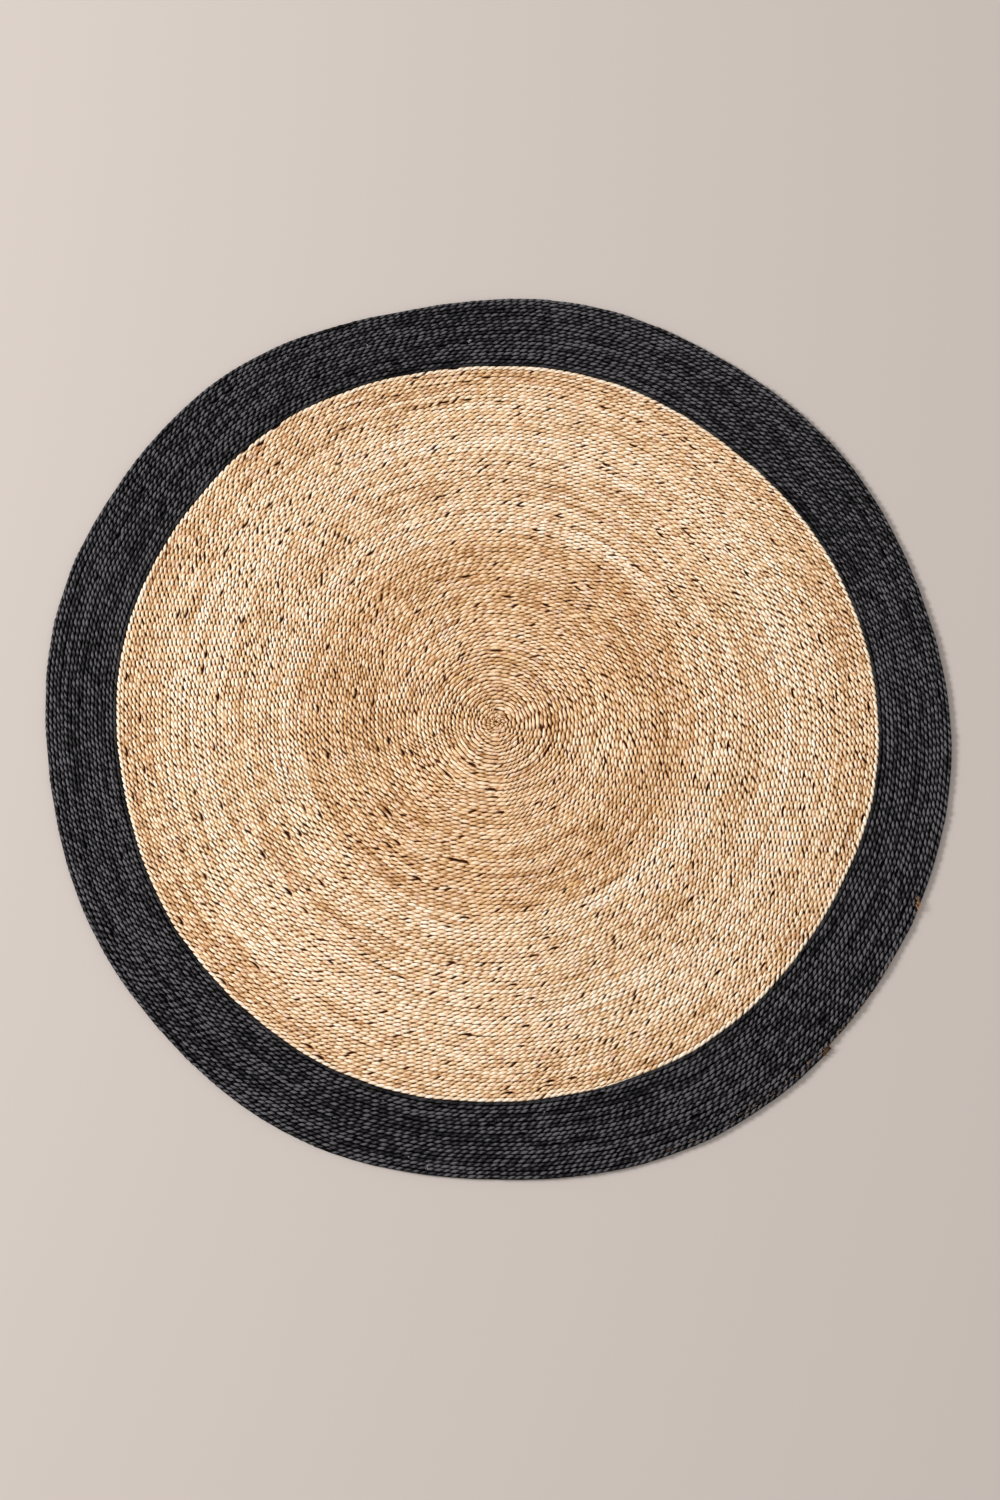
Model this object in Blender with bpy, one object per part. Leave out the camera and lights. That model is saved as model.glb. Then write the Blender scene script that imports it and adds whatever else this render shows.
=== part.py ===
"""Round jute rug: a natural disc and a black border, both wound from one long coil of cord, lying flat."""

import bmesh
import bpy
import numpy as np

# Sizes are in metres. The rug lies on the XY plane, its centre over the origin, its top facing +Z.
ROW_PITCH = 0.006384  # from one turn of cord to the next
NATURAL_TURNS = 98  # full turns of natural cord before the black one starts
BORDER_TURNS = 19  # full turns of black cord after them
CREST_HEIGHT = 0.0080  # top of a cord above the floor
GROOVE_HEIGHT = 0.0060  # bottom of the groove between two turns
RIM_HEIGHT = 0.0042  # level at which the outermost turn bulges furthest
RIM_FOOT = 0.0014  # how far the foot of the outermost turn draws back under it
SWELL = 0.0003  # the wound cord stands this much higher or lower in slow waves
PIECE_GAP = 0.0003  # between the natural disc and the black border
SAME_PLACE = 0.00001  # points closer than this are one point

# The coil is laid out in columns round the centre and in rows outward, two rows to a turn:
# an even row is a groove, and an odd row is the crest of the cord between two grooves.
COLUMNS = 72
FIRST_ROW = 2  # inside it lies the curled start of the cord
SPLICE_ANGLE = 294.0  # degrees, where the natural cord has tapered out into the black one
SPLICE_COLUMNS = 3  # columns over which it tapers
CORD_END_COLUMN = 4  # column at which the black cord ends on the rim
CORD_END_TAPER = 0.35  # share of its width that the cord has lost at its end

# From this row outward, the coil keeps one column in so many.
FACETS = (
    # row, columns skipped
    (0, 8),
    (38, 4),
    (92, 2),
    (192, 1),
)

# How far the wound rows stray from a true spiral, as slow waves round the rug.
JOINT_WAVES = (
    # waves in a turn, size, angle of the peak in degrees
    (0, -0.0009, 0),
    (1, 0.0034, 99),
    (2, 0.0047, 145),
    (3, 0.0029, 12),
    (4, 0.0009, 62),
    (5, 0.0016, 11),
    (6, 0.0017, 3),
    (8, 0.0018, 31),
)
RIM_WAVES = (
    # waves in a turn, size, angle of the peak in degrees
    (0, 0.0009, 0),
    (1, 0.0024, 68),
    (2, 0.0077, 133),
    (3, 0.0020, 26),
    (4, 0.0039, 55),
    (5, 0.0018, 5),
    (6, 0.0015, 3),
    (7, 0.0013, 33),
    (8, 0.0020, 32),
    (9, 0.0018, 4),
)

NATURAL_JUTE = (0.56, 0.37, 0.20, 1.0)
BLACK_JUTE = (0.022, 0.021, 0.023, 1.0)


def waves_at(angle, table):
    """The sum of a table's waves at each angle."""
    total = np.zeros_like(angle)
    for waves, size, peak in table:
        total += size * np.cos(waves * (angle - np.radians(peak)))
    return total


def radius_at(angle, turn):
    """Distance from the centre of a place on the coil: its turns from the start of the cord, times the
    pitch, plus the stray, which grows from nothing at the centre to the joint and changes to the rim's."""
    inward = np.clip(turn / NATURAL_TURNS, 0, 1) ** 3
    outward = np.clip((turn - NATURAL_TURNS) / BORDER_TURNS, 0, 1)
    stray = (1 - outward) * inward * waves_at(angle, JOINT_WAVES) + outward * waves_at(angle, RIM_WAVES)
    return turn * ROW_PITCH + stray


def joint_turn(column):
    """Turns from the start of the cord to the line where the two colours meet, at each column."""
    tapered = np.clip((column - COLUMNS + SPLICE_COLUMNS) / SPLICE_COLUMNS, 0, 1)
    return NATURAL_TURNS + column / COLUMNS - tapered


def rim_turn(column):
    """Turns from the start of the cord to the outer edge of the rug, at each column."""
    on_last_turn = column <= CORD_END_COLUMN
    lost = CORD_END_TAPER * (column == CORD_END_COLUMN)
    return NATURAL_TURNS + BORDER_TURNS + column / COLUMNS + on_last_turn * (1.0 - lost)


def columns_skipped(row):
    """How many columns share one point on each row."""
    skipped = np.ones_like(row)
    for from_row, columns in FACETS:
        skipped = np.where(row >= from_row, columns, skipped)
    return skipped


def coil_rows(mesh, first_row, last_row, least_turn, most_turn, edge_offset):
    """Winds a flat grid into the rows of the coil between two edges. Each edge function gives its turn at a
    column, and a row past an edge lies on it. The edge on the joint stands off it by edge_offset."""
    rows = last_row - first_row
    bmesh.ops.create_grid(mesh, x_segments=COLUMNS, y_segments=rows, size=1.0)
    flat = np.array([vertex.co[:2] for vertex in mesh.verts])
    column = np.rint((flat[:, 0] + 1) / 2 * COLUMNS).astype(int)
    row = first_row + np.rint((flat[:, 1] + 1) / 2 * rows).astype(int)
    column -= column % columns_skipped(row)

    def held(turn):
        return np.clip(turn, least_turn(column), most_turn(column))

    around = column / COLUMNS
    inner = held((row - 1) / 2 + around)
    outer = held((row + 1) / 2 + around)
    is_crest = row % 2 == 1
    turn = np.where(is_crest, (inner + outer) / 2, held(row / 2 + around))
    angle = np.radians(SPLICE_ANGLE) + 2 * np.pi * around
    on_joint = np.abs(turn - joint_turn(column)) < 1e-6
    distance = radius_at(angle, turn) + edge_offset * on_joint
    swell = SWELL * np.sin(3 * angle + 0.10 * turn) * np.cos(2 * angle - 0.14 * turn)
    arch = (CREST_HEIGHT - GROOVE_HEIGHT) * np.where(is_crest, outer - inner, 0)
    height = GROOVE_HEIGHT + arch + swell * np.clip(turn / 10, 0, 1)
    on_rim = np.abs(turn - rim_turn(column)) < 1e-6
    height = np.where(on_rim, RIM_HEIGHT, height)
    place = np.stack([distance * np.cos(angle), distance * np.sin(angle), height], axis=1)
    for vertex, point in zip(mesh.verts, place):
        vertex.co = point
    return column, row


def drop_faces(mesh, unwanted):
    """Takes faces out of the grid, with the edges and points that only they used."""
    bmesh.ops.delete(mesh, geom=unwanted, context="FACES_ONLY")
    loose = [edge for edge in mesh.edges if not edge.link_faces]
    bmesh.ops.delete(mesh, geom=loose, context="EDGES")
    bare = [vertex for vertex in mesh.verts if not vertex.link_edges]
    bmesh.ops.delete(mesh, geom=bare, context="VERTS")


def stand_on_floor(mesh):
    """Draws the open edges down to the floor and closes the underside flat."""
    open_edges = [edge for edge in mesh.edges if edge.is_boundary]
    wall = bmesh.ops.extrude_edge_only(mesh, edges=open_edges)["geom"]
    feet = [item for item in wall if isinstance(item, bmesh.types.BMVert)]
    for foot in feet:
        if foot.co.z < (RIM_HEIGHT + GROOVE_HEIGHT) / 2:
            distance = foot.co.xy.length
            foot.co.xy *= (distance - RIM_FOOT) / distance
        foot.co.z = 0.0
    around_floor = [edge for edge in mesh.edges if edge.is_boundary]
    bmesh.ops.triangle_fill(mesh, use_beauty=True, edges=around_floor, normal=(0, 0, -1))


def natural_coil():
    """The disc of natural cord: the curled start, its turns, and the taper of its end."""
    mesh = bmesh.new()
    last_row = 2 * NATURAL_TURNS
    coil_rows(mesh, FIRST_ROW, last_row, lambda column: 0 * column, joint_turn, -PIECE_GAP / 2)
    bmesh.ops.remove_doubles(mesh, verts=mesh.verts[:], dist=SAME_PLACE)
    hole = [edge for edge in mesh.edges if edge.is_boundary and edge.verts[0].co.xy.length < 3 * ROW_PITCH]
    curl = bmesh.ops.contextual_create(mesh, geom=hole)["faces"]
    middle = bmesh.ops.poke(mesh, faces=curl)["verts"][0]
    seam = np.radians(SPLICE_ANGLE)
    middle.co = (0.3 * ROW_PITCH * np.sin(seam), -0.3 * ROW_PITCH * np.cos(seam), CREST_HEIGHT)
    stand_on_floor(mesh)
    return mesh


def border_coil():
    """The ring of black cord: the taper that starts it, its turns, and the cord's end on the rim."""
    mesh = bmesh.new()
    first_row = 2 * NATURAL_TURNS - 2
    last_row = 2 * (NATURAL_TURNS + BORDER_TURNS + 1)
    column, row = coil_rows(mesh, first_row, last_row, joint_turn, rim_turn, PIECE_GAP / 2)
    unwanted = []
    for face in mesh.faces:
        corners = [vertex.index for vertex in face.verts]
        from_column = min(column[corners])
        from_row = min(row[corners])
        before_splice = from_row < first_row + 2 and from_column < COLUMNS - SPLICE_COLUMNS
        past_end = from_row >= last_row - 2 and from_column >= CORD_END_COLUMN
        if before_splice or past_end:
            unwanted.append(face)
    drop_faces(mesh, unwanted)
    bmesh.ops.remove_doubles(mesh, verts=mesh.verts[:], dist=SAME_PLACE)
    stand_on_floor(mesh)
    return mesh


def jute(name, colour, roughness):
    """A plain material for dry, matt cord."""
    material = bpy.data.materials.new(name)
    material.use_nodes = True
    shader = material.node_tree.nodes["Principled BSDF"]
    shader.inputs["Base Color"].default_value = colour
    shader.inputs["Roughness"].default_value = roughness
    shader.inputs["Metallic"].default_value = 0.0
    return material


def add_piece(name, mesh, material, collection):
    """Turns a mesh into a named object that faces outward and is shaded smooth."""
    bmesh.ops.recalc_face_normals(mesh, faces=mesh.faces[:])
    bmesh.ops.triangulate(mesh, faces=mesh.faces[:])
    data = bpy.data.meshes.new(name)
    mesh.to_mesh(data)
    mesh.free()
    data.polygons.foreach_set("use_smooth", np.ones(len(data.polygons), bool))
    data.materials.append(material)
    collection.objects.link(bpy.data.objects.new(name, data))


for item in list(bpy.data.objects):
    bpy.data.objects.remove(item)

rug = bpy.data.collections.new("round_jute_rug")
bpy.context.scene.collection.children.link(rug)
add_piece("natural_centre", natural_coil(), jute("natural_jute", NATURAL_JUTE, 0.95), rug)
add_piece("black_border", border_coil(), jute("black_jute", BLACK_JUTE, 0.9), rug)
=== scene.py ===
"""Round jute rug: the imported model, dressed as the wound and sewn cord that it is made of.

Metres, +Z up, the middle of the rug over the origin, and the photo's camera looking along +Y. Each section
holds one piece or one group of like pieces, with its sizes, colours, mesh and material together."""

import bpy
import numpy as np
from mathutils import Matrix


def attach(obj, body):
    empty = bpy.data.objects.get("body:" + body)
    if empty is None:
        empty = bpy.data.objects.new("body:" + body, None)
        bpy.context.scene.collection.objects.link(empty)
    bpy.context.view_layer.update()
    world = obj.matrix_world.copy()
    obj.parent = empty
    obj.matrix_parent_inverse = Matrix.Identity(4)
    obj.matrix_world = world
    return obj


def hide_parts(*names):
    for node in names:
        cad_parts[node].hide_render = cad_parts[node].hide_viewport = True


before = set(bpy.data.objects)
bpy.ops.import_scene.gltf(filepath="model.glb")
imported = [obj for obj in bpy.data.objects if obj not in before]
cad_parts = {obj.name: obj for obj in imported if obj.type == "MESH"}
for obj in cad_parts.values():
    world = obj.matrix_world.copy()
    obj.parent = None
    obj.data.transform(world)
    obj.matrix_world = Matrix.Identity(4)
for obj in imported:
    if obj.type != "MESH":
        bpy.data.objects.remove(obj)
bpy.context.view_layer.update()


# ---- Camera, floor and light
# The photo is taken from above and a little in front of the rug, so its far rows look slightly closer
# together. The floor is plain and pale, and the light is a wide window's, low from the left.

camera = bpy.data.objects.new("camera", bpy.data.cameras.new("camera"))
camera.data.sensor_fit = "VERTICAL"
camera.data.sensor_height = 36.0
camera.data.lens = 62.4
camera.location = (0.00524, -1.00850, 4.18310)
camera.rotation_euler = (np.radians(12.973), 0.0, 0.0)
bpy.context.scene.collection.objects.link(camera)
bpy.context.scene.camera = camera
bpy.context.scene.view_settings.view_transform = "Standard"

FLOOR_SIDE = 12.0
half = FLOOR_SIDE / 2
floor_corners = [(-half, -half, 0), (half, -half, 0), (half, half, 0), (-half, half, 0)]
floor_mesh = bpy.data.meshes.new("floor")
floor_mesh.from_pydata(floor_corners, [], [(0, 1, 2, 3)])
floor = bpy.data.objects.new("floor", floor_mesh)
bpy.context.scene.collection.objects.link(floor)

floor_paint = bpy.data.materials.new("floor_paint")
floor_paint.use_nodes = True
floor_shader = floor_paint.node_tree.nodes["Principled BSDF"]
floor_shader.inputs["Base Color"].default_value = (0.525, 0.473, 0.446, 1.0)
floor_shader.inputs["Roughness"].default_value = 0.9
floor_shader.inputs["Specular IOR Level"].default_value = 0.1
floor_mesh.materials.append(floor_paint)

world = bpy.data.worlds.new("room")
world.use_nodes = True
room_light = world.node_tree.nodes["Background"]
room_light.inputs["Color"].default_value = (1.0, 0.975, 0.94, 1.0)
room_light.inputs["Strength"].default_value = 0.61
bpy.context.scene.world = world

WINDOW_DISTANCE = 10.0
WINDOW_DIRECTION = np.radians(168.0)  # anticlockwise from +X, so that it stands at the left
WINDOW_RISE = np.radians(30.0)  # above the floor, seen from the rug
window = bpy.data.objects.new("window", bpy.data.lights.new("window", "AREA"))
window.data.shape = "RECTANGLE"
window.data.size = 3.5
window.data.size_y = 2.4
window.data.energy = 1200.0
window.data.color = (1.0, 0.985, 0.965)
window.visible_camera = False
level = np.cos(WINDOW_RISE)
window.location = WINDOW_DISTANCE * np.array(
    [level * np.cos(WINDOW_DIRECTION), level * np.sin(WINDOW_DIRECTION), np.sin(WINDOW_RISE)]
)
window.rotation_euler = (np.pi / 2 - WINDOW_RISE, 0.0, WINDOW_DIRECTION + np.pi / 2)
bpy.context.scene.collection.objects.link(window)


# ---- Natural cord
# One undyed two-ply jute cord, twisted by hand and wound flat from a curled start, 98 turns outward.
# The inner 51 turns are from a more golden batch than the rest, the last turn is the palest, and the end
# tapers into the black cord.

ROW_PITCH = 0.006384  # from one turn to the next
NATURAL_TURNS = 98
BORDER_TURNS = 19
START_ANGLE = np.radians(294.0)
JOINT_WAVES = (
    # waves in a turn, size, angle of the peak in degrees
    (0, -0.0009, 0),
    (1, 0.0034, 99),
    (2, 0.0047, 145),
    (3, 0.0029, 12),
    (4, 0.0009, 62),
    (5, 0.0016, 11),
    (6, 0.0017, 3),
    (8, 0.0018, 31),
)
RIM_WAVES = (
    # waves in a turn, size, angle of the peak in degrees
    (0, 0.0009, 0),
    (1, 0.0024, 68),
    (2, 0.0077, 133),
    (3, 0.0020, 26),
    (4, 0.0039, 55),
    (5, 0.0018, 5),
    (6, 0.0015, 3),
    (7, 0.0013, 33),
    (8, 0.0020, 32),
    (9, 0.0018, 4),
)
DRIFT_WAVES = (
    # direction in degrees, length of the wave, size, phase
    (20, 0.141, 0.00035, 0.4),
    (83, 0.097, 0.00028, 2.1),
    (141, 0.068, 0.00022, 4.0),
)
STRAND = 0.01275  # length of cord from one crossing of two strands to the next
EDGE = 1.1  # half widths from the cord's middle to its edge, which is pressed against the next turn's
BESIDE = 0.65  # half widths from its middle to the two points beside the crest
ACROSS = np.array([-EDGE, -BESIDE, 0.0, BESIDE, EDGE])  # its five points, in half widths
SLANT = np.array([0.42, 0.20, 0.0, -0.20, -0.42])  # strands by which a crossing runs ahead at each of them
CURL_START = -0.4  # turn at which the cord starts, curled up in the middle
CURL_TURNS = 3  # turns in which it comes out of the curl
CURL_TIGHTENING = 0.7  # share of its length that a strand loses at the start of the curl
WOBBLE = 0.0009  # how far the first turns stray from round
WOBBLE_TURNS = 16  # turns over which that dies out
SPLICE_START = 97.958  # turn at which the natural cord begins to thin


def waves_at(angle, table):
    """The sum of a table's waves at each angle."""
    return sum(size * np.cos(waves * (angle - np.radians(peak))) for waves, size, peak in table)


def radius_at(angle, turn):
    """Turns from the start times the pitch, plus the stray of the wound rows, which is the joint's at the
    colour change and the rim's at the outer edge."""
    inward = np.clip(turn / NATURAL_TURNS, 0, 1) ** 3
    outward = np.clip((turn - NATURAL_TURNS) / BORDER_TURNS, 0, 1)
    stray = (1 - outward) * inward * waves_at(angle, JOINT_WAVES) + outward * waves_at(angle, RIM_WAVES)
    return turn * ROW_PITCH + stray


def length_at(turn):
    """Length of cord wound before this turn: pi times the pitch times the square of (turn + 1/2)."""
    return np.pi * ROW_PITCH * (turn + 0.5) ** 2


def turn_at(length):
    """The turn that a length of cord reaches, the reverse of length_at."""
    return np.sqrt(np.maximum(length, 0) / (np.pi * ROW_PITCH)) - 0.5


def laid(length, across, height):
    """Points in the rug from a length along the cord, half widths across it and a height, with the slow
    drift of the rows that all pieces share, and a tighter wobble in the first turns round the middle."""
    turn = turn_at(length)
    angle = START_ANGLE + 2 * np.pi * turn
    spread = turn + (across + 1) / 2
    waves = np.sin(3 * angle + 1.1 * spread) + 0.7 * np.sin(5 * angle - 0.8 * spread + 2)
    dying_out = np.exp(-((spread / WOBBLE_TURNS) ** 2))
    radius = radius_at(angle, spread) + WOBBLE * waves * np.clip(spread / CURL_TURNS, 0, 1) ** 2 * dying_out
    x, y = radius * np.cos(angle), radius * np.sin(angle)
    shift_x, shift_y = 0, 0
    for direction, wave, size, phase in DRIFT_WAVES:
        way = np.radians(direction)
        push = size * np.sin(2 * np.pi * (x * np.cos(way) + y * np.sin(way)) / wave + phase)
        shift_x = shift_x - push * np.sin(way)
        shift_y = shift_y + push * np.cos(way)
    return np.stack([x + shift_x, y + shift_y, height + 0 * x], axis=-1)


def rough_line(length, step, rng):
    """Random values, normal and smoothly joined, that change over about this step of cord."""
    knots = np.arange(length.min() - step, length.max() + 2 * step, step)
    return np.interp(length, knots, rng.standard_normal(len(knots)))


def tightness(turn):
    """Length of a strand against STRAND, which is less where the cord is bent into its curl."""
    return 1 - CURL_TIGHTENING * np.exp(-((np.maximum(turn, 0) / CURL_TURNS) ** 2))


LAY_STEPS = 360  # steps in a turn, in the table of strands
SQUEEZED_FROM = 0.3  # part of a further strand in a turn from which it is squeezed in
SQUEEZED_OVER = 0.4  # and over which that happens


def lay_of_strands():
    """The count of strands against the turn. The crossings of one turn meet those of the turn before in the
    groove between them, so the count from a place to the same place one turn on is a whole number, plus the
    slant of the crossings. It rises by one over short stretches, where a strand is squeezed in."""
    last_step = (NATURAL_TURNS + BORDER_TURNS + 2) * LAY_STEPS + LAY_STEPS // 2
    turn = np.arange(-LAY_STEPS // 2, last_step) / LAY_STEPS
    even = np.cumsum(2 * np.pi * ROW_PITCH * (turn + 0.5) / (STRAND * tightness(turn))) / LAY_STEPS
    in_turn = even[LAY_STEPS:] - even[:-LAY_STEPS]
    slant = SLANT[0] - SLANT[-1]
    over = in_turn - slant
    squeezed = np.clip((over % 1 - SQUEEZED_FROM) / SQUEEZED_OVER, 0, 1)
    whole = np.floor(over) + squeezed ** 2 * (3 - 2 * squeezed) + slant
    first = (even[:LAY_STEPS] - even[0]) * whole[0] / in_turn[0]
    counted = np.concatenate([first[None, :], first + np.cumsum(whole.reshape(-1, LAY_STEPS), axis=0)])
    return turn, counted.ravel()


LAY_TURN, LAY_COUNT = lay_of_strands()
LINE_SHARES = np.array([0.0, 0.30, 0.70])  # where a strand's cross-lines lie along it, the first in its dip
SLIP = 0.07  # strands by which each crossing strays along the cord
SLOW_SLIP = 0.15  # strands by which neighbouring crossings stray together
SLOW_SLIP_STEP = 0.20  # length of cord over which that changes
SLIP_TURNS = 5  # turns until both are in full


def cord_lines(first_turn, last_turn, rng):
    """Cross-lines of the cord, three to a strand: one in the dip between two strands and two on the strand.
    Gives each line's length along the cord, its count of strands and whether it is a dip."""
    first, last = np.interp([first_turn, last_turn], LAY_TURN, LAY_COUNT)
    turn = np.interp(np.arange(np.ceil(first), np.floor(last) + 1), LAY_COUNT, LAY_TURN)
    dips = length_at(turn)
    slip = SLIP * rng.standard_normal(len(dips)) + SLOW_SLIP * rough_line(dips, SLOW_SLIP_STEP, rng)
    dips = dips + STRAND * slip * np.clip(turn / SLIP_TURNS, 0, 1)
    dips[0], dips[-1] = length_at(first_turn), length_at(last_turn)
    strands = len(dips) - 1
    along = np.append((dips[:-1, None] + np.diff(dips)[:, None] * LINE_SHARES).ravel(), dips[-1])
    count = np.append((np.arange(strands)[:, None] + LINE_SHARES).ravel(), strands)
    is_dip = np.append(np.tile(LINE_SHARES == 0, strands), 1.0)
    return along, count, is_dip


PATCHED = 0.85  # half the side of the square that the patches cover


def patches(x, y, cell, seed):
    """Random values from 0 to 1 that change smoothly over the rug, over about one cell."""
    cells = int(2 * PATCHED / cell) + 2
    grid = np.random.default_rng(seed).random((cells, cells))
    i, j = (x + PATCHED) / cell, (y + PATCHED) / cell
    left, low = i.astype(int), j.astype(int)
    i, j = i - left, j - low
    near = grid[left, low] * (1 - i) + grid[left + 1, low] * i
    far = grid[left, low + 1] * (1 - i) + grid[left + 1, low + 1] * i
    return near * (1 - j) + far * j


PRESSED = (
    # turn, height of the cord's edges against the next turn, depth of a crossing at the crest
    (0.0, 0.0062, 0.0003),
    (2.5, 0.0058, 0.0004),
    (4.5, 0.0032, 0.0005),
    (14.0, 0.0036, 0.0006),
    (24.0, 0.0054, 0.0011),
    (34.0, 0.0060, 0.0015),
    (97.8, 0.0060, 0.0015),
    (98.2, 0.0034, 0.0008),
)
CORD_TOP = 0.0077  # height of the crest
CREST_POWER = 2.4  # the crest is an arch of this power, where 2 would be an ellipse
EDGE_POWER = 6  # how closely what belongs to the edges keeps to them
LEAST_WIDTH = 0.05  # share of the full width below which a thinned cord gets no flatter
THIN_POWER = 0.6  # and power of that share by which its height goes
DEEPER_AT_SIDE = 0.0011  # how much deeper a crossing is beside the crest
STRAND_LIFT = 0.00035  # how much higher or lower each strand lies
CORD_LIFT = 0.0001  # how much higher or lower the cord does
CORD_LIFT_STEP = 0.08  # length of cord over which that changes
SIDE_STRAY = 0.11  # half widths by which the cord strays sideways
SIDE_STEP = 0.030  # length of cord over which that changes
SETTLES_FROM = -0.3  # turn from which strays, gaps and parted strands set in
PIT_FOOT = 0.0015  # height of the edges in the deepest pit, where a crossing meets the next turn
PIT_ACROSS = np.array([1.0, 0.45, 0.0, 0.45, 1.0])  # how much of a pit the five points have
PIT_CELL = 0.007  # about the distance from a deep pit to a shallow one
PIT_SEED = 3
PIT_FROM = 0.15  # value of the patches from which the pits deepen
PIT_OVER = 0.45  # and over which they do
PIT_LEAST = 0.15  # the shallowest pit against the deepest
PIT_ROUND = 0.22  # how much the pits gain at the left and right, and lose at the front and back, in depth and in the painted shade that stands for the side light across the rows
GAP = 0.90  # half widths by which the outer edge draws in at an open gap
GAP_ACROSS = np.array([0.0, 0.0, 0.0, 0.5, 1.0])  # how much of the painted shade at its bottom the five points have
GAP_SHARE = 0.012  # share of the strands that leave a gap
GAP_LEAST = 0.45  # the smallest gap against the largest
GAP_AT_DIP = 0.45  # how much of a gap is left at the strand's dip
PARTED = 0.0024  # how much deeper the crossing is where two strands part
PARTED_SHARE = 0.03  # share of the crossings that part
PARTED_LEAST = 0.5  # the least parted one against the most
RIM_DIP = 0.35  # half widths by which the rim draws in between two strands
RIM_STRAY = 0.10  # half widths by which it draws in everywhere, at random
RIM_STEP = 0.02  # length of cord over which that changes


def cord_points(along, count, is_dip, inner_edge, outer_edge, rng, free_from=np.inf):
    """Five points on each cross-line, which runs slanted over the cord as its strands do, and how far each
    lies in a pit. Heights follow a rounded crest, sunk at the dips, and the two edge functions give the half
    widths that the cord spans. Where a dip meets the next turn there is a pit, deeper to the left and right
    than at the front and back, as in the photo; the material paints the pits with shade, so that the extra
    dark there is painted shade of the light from the left falling across the rows. A few strands part along
    their whole dip, and a few stand off the next turn and leave an open gap, and the material paints shade in
    both. From the turn free_from on there is no next turn, and the strands bulge outward one by one."""
    turn = turn_at(along)
    strand = count.astype(int)
    strands = strand[-1] + 1
    settled = np.clip((turn - SETTLES_FROM) / CURL_TURNS, 0, 1)

    def some(share, least):
        """A random value from the least to 1 for this share of the strands, and 0 for the others."""
        return np.where(rng.random(strands) < share, rng.uniform(least, 1.0, strands), 0.0)[strand]

    gap = some(GAP_SHARE, GAP_LEAST) * (settled * np.where(is_dip > 0, GAP_AT_DIP, 1.0))
    parted = some(PARTED_SHARE, PARTED_LEAST) * (settled * is_dip)
    side = SIDE_STRAY * rough_line(along, SIDE_STEP, rng) * settled
    lift = STRAND_LIFT * rng.standard_normal(strands)[strand] * (1 - is_dip)
    lift += CORD_LIFT * np.clip(rough_line(along, CORD_LIFT_STEP, rng), -2, 2)
    low = inner_edge(turn)
    high = outer_edge(turn) - GAP * gap
    drawn_in = RIM_DIP * is_dip + RIM_STRAY * np.abs(rough_line(along, RIM_STEP, rng))
    high = high - (turn > free_from) * drawn_in
    slanted = along[:, None] + (STRAND * tightness(turn))[:, None] * SLANT
    across = low[:, None] + (high - low)[:, None] * ((ACROSS + EDGE) / (2 * EDGE)) + side[:, None]
    points = laid(slanted, across, 0.0)

    x, y = points[..., 0], points[..., 1]
    deep = (patches(x, y, PIT_CELL, PIT_SEED) - PIT_FROM) / PIT_OVER
    deep = np.clip(deep, PIT_LEAST, 1) * is_dip[:, None]
    # Painted shade of the side light: pits deeper and darker at the left and right of the rug
    deep = deep * (1 - PIT_ROUND + PIT_ROUND * (x ** 2 - y ** 2) / (x ** 2 + y ** 2 + 1e-6))
    from_crest = np.abs(ACROSS)
    pit = np.maximum(deep * PIT_ACROSS, gap[:, None] * GAP_ACROSS)
    pit = np.maximum(pit, parted[:, None] * (1 - 0.1 * from_crest))

    at_turn, foots, dips = np.array(PRESSED).T
    foot = np.interp(turn, at_turn, foots)[:, None]
    dip = np.interp(turn, at_turn, dips)[:, None]
    edge = (from_crest / EDGE) ** EDGE_POWER
    sunk = (dip + DEEPER_AT_SIDE * from_crest / BESIDE) * is_dip[:, None] * (1 - edge)
    sunk = sunk + PARTED * parted[:, None] * (1 - edge) + (foot - PIT_FOOT) * pit * edge
    crest = np.sqrt(1 - (from_crest / EDGE) ** CREST_POWER)
    fullness = np.clip((high - low) / (2 * EDGE), LEAST_WIDTH, 1)[:, None] ** THIN_POWER
    points[..., 2] = foot + ((CORD_TOP - foot) * crest + lift[:, None] * (1 - edge) - sunk) * fullness
    return points, pit


def quads_map(left, right, bottom, top):
    """A map's values at the corners of quads: left bottom, left top, right top, right bottom."""
    left, right, bottom, top = np.broadcast_arrays(left, right, bottom, top)
    across = np.stack([left, left, right, right], -1)
    up = np.stack([bottom, top, top, bottom], -1)
    return np.stack([across, up], -1).reshape(-1, 4, 2)


SIDES_UP = np.array([0.0, 0.2, 0.44, 0.68, 0.9, 1.0])  # the tube's five sides, as shares of a strip's height
QUAD_SHAPE = 0.21  # length of a quad against the way round the tube
CAP_CENTRES = np.array([[0.05, 0.985], [0.15, 0.985]])
CAP_RADIUS = 0.008


def strips_map(lines):
    """A map of a long tube for the bake: its quads in order, cut into strips that lie one above the other,
    with a little room between them and the top of the map left for the caps."""
    wide, high, below_caps = 0.98, 0.94, 0.97
    steps = lines - 1
    strips = int(np.ceil(np.sqrt(steps * QUAD_SHAPE)))
    in_strip = int(np.ceil(steps / strips))
    step = np.arange(steps)[:, None]
    place, strip = step % in_strip, step // in_strip
    bottom = below_caps * (strip + high * SIDES_UP[:-1]) / strips
    top = below_caps * (strip + high * SIDES_UP[1:]) / strips
    return quads_map(place / in_strip, (place + wide) / in_strip, bottom, top)


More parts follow.
